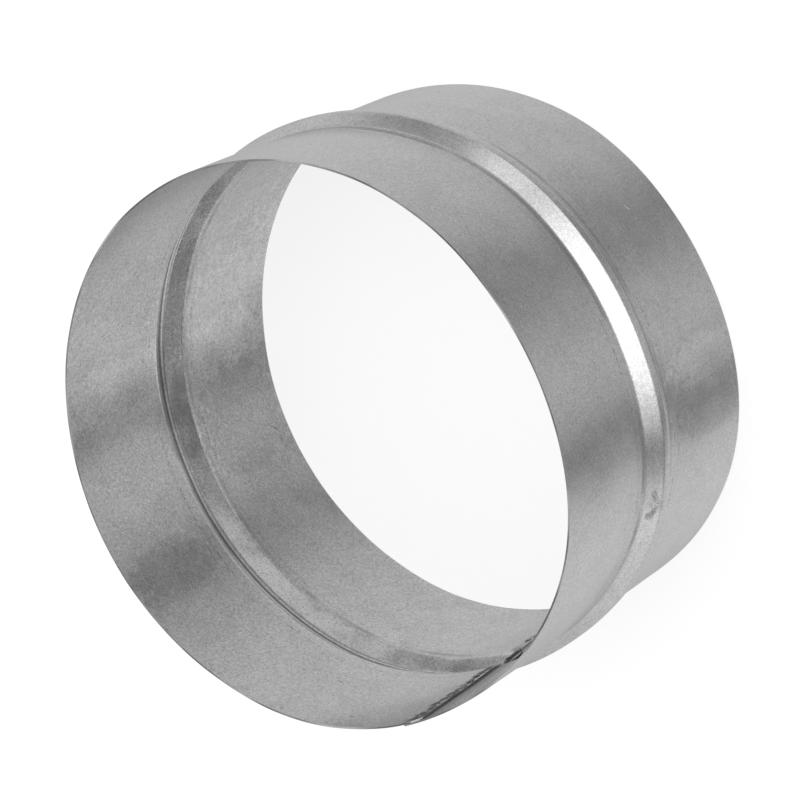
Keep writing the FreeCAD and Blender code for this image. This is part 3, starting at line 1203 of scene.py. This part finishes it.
# %% Finish the welds
SCALE_CRYSTAL = 0.18 * MM
SCALE_CLOUD = 1.6 * MM
SCALE_FLECK = 0.9 * MM


def finish_weld_scale(material):
    """Dark mottled scale with bright flecks."""
    shader, place = metal_tree(material)
    sizes = (SCALE_CRYSTAL, None, SCALE_CLOUD)
    grain = put("ShaderNodeGroup", place, *sizes, node_tree=zinc_grain)
    brushed = ramped(noise(place, SCALE_FLECK, detail=2), 0.02, 0.14)
    grey = times(out(grain, "Tone"), times_plus(brushed, 0.55, 0.12))
    metallic = times_plus(brushed, 0.8, 0.2)
    rough = times_plus(brushed, -0.25, 0.5)
    dress(shader, grey, metallic, rough, out(grain, "Height"), strength=0.6, depth=0.05 * MM)


finish_weld_scale(weld_scale)
print("weld scale:", len(weld_scale.node_tree.nodes), "nodes")

# %% [markdown]
# The light
#
# Bare metal shows little of its own colour: it shows the room. In the photograph the room is a soft
# grey studio with two darker gaps, one on each side of the camera, and a bright panel behind the
# camera, just above the ring's level, that lights the bead. All of it is drawn in the world by
# direction only, so it stays put when the view moves. The backdrop is plain white to the camera. The
# metal shows that backdrop too, with its gaps and its panel, and the rest of the light is even.

# %% Draw the room
DOME_LEVEL = 0.75
LOW_TO_LEVEL = (-0.45, -0.08)  # rise, as a share of the direction, where one part gives way to the next
LEVEL_TO_DOME = (0.18, 0.34)
BRIGHTEST = 2.8  # the level that a ramp's white stands for
LOW_ROOM = [  # turn from the camera's side in degrees, and brightness of the room low down there
    (-180, 0.46), (-150, 0.62), (-125, 0.84), (-80, 0.95), (-64, 0.72),
    (-47, 0.34), (-30, 0.72), (-8, 0.72), (20, 0.42), (44, 0.68),
    (75, 0.82), (125, 0.82), (150, 0.66), (180, 0.46),
]
LEVEL_ROOM = [  # the same at the ring's own level, where the bright panel is
    (-180, 0.80), (-120, 0.95), (-84, 1.25), (-60, 1.15), (-48, 0.34),
    (-36, 1.05), (-14, 2.70), (10, 2.80), (30, 1.45), (50, 1.55),
    (66, 0.60), (90, 0.50), (118, 1.40), (150, 1.10), (180, 0.80),
]


def room_ring(turn, stops):
    """The room's brightness round one level, as a ramp over the turn from the camera's side."""
    ramp = put("ShaderNodeValToRGB", turn)
    ramp.color_ramp.interpolation = "CARDINAL"
    elements = ramp.color_ramp.elements
    for i, (degrees, level) in enumerate(stops):
        place = (degrees + 180) / 360
        element = elements[i] if i < 2 else elements.new(place)
        element.position = place
        grey = level / BRIGHTEST
        element.color = (grey, grey, grey, 1)
    return times(ramp.outputs[0], BRIGHTEST)


def studio_world():
    """A backdrop that is white to the camera, graded in the metal, and even otherwise."""
    world = bpy.data.worlds.new("studio")
    world.use_nodes = True
    work_on(world.node_tree).nodes.clear()
    direction = out(put("ShaderNodeTexCoord"), "Generated")
    rise = axes(direction)[2]
    turned = put("ShaderNodeVectorRotate", direction, rotation_type="Z_AXIS")
    feed(turned, [("Angle", math.radians(90 - VIEW_AZIMUTH))])
    x, y, _ = axes(out(turned))
    turn = times_plus(calc("ARCTAN2", y, x), 0.5 / math.pi, 0.5)
    low = room_ring(turn, LOW_ROOM)
    level = room_ring(turn, LEVEL_ROOM)
    room = mixed(ramped(rise, *LOW_TO_LEVEL), low, level)
    room = mixed(ramped(rise, *LEVEL_TO_DOME), room, DOME_LEVEL)
    ray = put("ShaderNodeLightPath")
    mirrored = larger(out(ray, "Is Glossy Ray"), out(ray, "Is Transmission Ray"))
    seen = mixed(mirrored, DOME_LEVEL, room)
    seen = mixed(out(ray, "Is Camera Ray"), seen, 1.0)
    background = put("ShaderNodeBackground", seen, 1.0)
    put("ShaderNodeOutputWorld", out(background))
    return world


scene.world = studio_world()
print("room with", len(LOW_ROOM) + len(LEVEL_ROOM), "stops")

# %% [markdown]
# The lamp
#
# A room that is bright all round casts no shadow. One large soft lamp overhead gives the ring a faint
# one, and a little more light from above. It is out of the camera's sight.

# %% Hang the lamp
PANEL_PLACE, PANEL_SIZE, PANEL_POWER = (0.25, 0.35, 1.3), 0.9, 4.0


def soft_panel(name):
    """A square soft lamp that points at the ring's foot."""
    lamp = bpy.data.lights.new(name, "AREA")
    lamp.shape = "RECTANGLE"
    lamp.size = lamp.size_y = PANEL_SIZE
    lamp.energy = PANEL_POWER
    panel = bpy.data.objects.new(name, lamp)
    panel.location = PANEL_PLACE
    panel.rotation_euler = (-Vector(PANEL_PLACE)).to_track_quat("-Z", "Y").to_euler()
    panel.visible_camera = False
    scene.collection.objects.link(panel)


soft_panel("top_panel")
print("lamp of", PANEL_POWER, "W overhead")

# %% [markdown]
# The floor
#
# The floor is close to white to the camera, and it keeps the ring's shadow. A plain white floor would
# lose the shadow, so it is a grey one that also glows, to the camera alone. The metal looks past it,
# as it does in a cut-out photograph.

# %% Lay the floor
FLOOR_REACH = 6.0
FLOOR_DROP = 0.2 * MM  # so that the ring's own foot is not in the same plane
FLOOR_GLOW = 0.75
FLOOR_GREY = (0.35, 0.35, 0.35, 1)


def pale_floor():
    """A floor that is white to the camera, with the ring's shadow left on it."""
    mesh = bpy.data.meshes.new("floor")
    square = ((-1, -1), (1, -1), (1, 1), (-1, 1))
    corners = [(x * FLOOR_REACH, y * FLOOR_REACH, -FLOOR_DROP) for x, y in square]
    mesh.from_pydata(corners, [], [(0, 1, 2, 3)])
    floor = bpy.data.objects.new("floor", mesh)
    floor.visible_glossy = False
    scene.collection.objects.link(floor)
    pale = bpy.data.materials.new("pale_floor")
    pale.use_nodes = True
    work_on(pale.node_tree).nodes.clear()
    ray = put("ShaderNodeLightPath")
    glow = times(out(ray, "Is Camera Ray"), FLOOR_GLOW)
    glow = put("ShaderNodeEmission", (1, 1, 1, 1), glow)
    matt = put("ShaderNodeBsdfDiffuse", FLOOR_GREY)
    both = put("ShaderNodeAddShader", out(glow), out(matt))
    put("ShaderNodeOutputMaterial", out(both))
    mesh.materials.append(pale)
    return floor


pale_floor()
print("floor laid")

# %% [markdown]
# Hand over
# Attach the pieces
#
# Every piece is told which body carries it, and the solid part that the pieces replace is hidden.
# Each piece took its finish when it was made.

# %% Attach the pieces and hide the solid they replace
for piece in (sleeve, welds):
    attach(piece, "root")
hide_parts("connector_sleeve")
